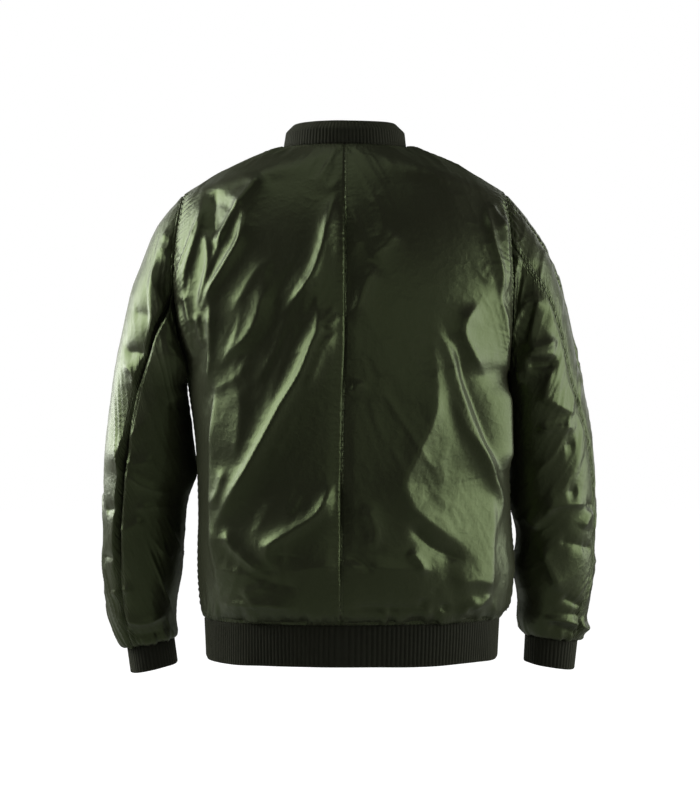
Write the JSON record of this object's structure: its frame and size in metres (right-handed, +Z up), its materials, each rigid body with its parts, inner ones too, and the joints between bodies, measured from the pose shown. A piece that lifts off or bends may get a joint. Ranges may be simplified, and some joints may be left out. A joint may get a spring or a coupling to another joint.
{
  "type": "bomber jacket",
  "caption": "Bomber jacket filled out as worn, with rib-knit collar, cuffs and hem band, set-in sleeves and a closed front zip with a hinged pull tab.",
  "frame": {"origin": "middle of the neck, level with the neck ends of the shoulder seams, where the wearer holds the jacket up", "axes": "+Z up, the front faces -Y, the back faces +Y, the wearer's left is +X"},
  "size_m": [0.647, 0.3142, 0.72],
  "materials": {
    "nylon": "satin olive nylon with a soft sheen",
    "rib_knit": "matt dark olive rib knit",
    "zip_tape": "matt woven zip tape",
    "zip_metal": "aged metal zip"
  },
  "bodies": {
    "jacket": {"back_left": "nylon", "back_right": "nylon", "front_left": "nylon", "front_right": "nylon", "sleeve_left_outer": "nylon", "sleeve_left_back": "nylon", "sleeve_left_front": "nylon", "sleeve_right_outer": "nylon", "sleeve_right_back": "nylon", "sleeve_right_front": "nylon", "cuff_left": "rib_knit", "cuff_right": "rib_knit", "collar": "rib_knit", "hem_band": "rib_knit", "zip_tape_left": "zip_tape", "zip_tape_right": "zip_tape", "zip_teeth": "zip_metal", "zip_slider": "zip_metal"},
    "zip_pull": {"zip_pull_tab": "zip_metal"}
  },
  "joints": [
    {"name": "pull_tab_hinge", "type": "hinge", "parent": "jacket", "child": "zip_pull", "pos_m": [0, -0.09464, -0.08516], "axis": [-1, 0, 0], "range_deg": [0, 150]}
  ]
}
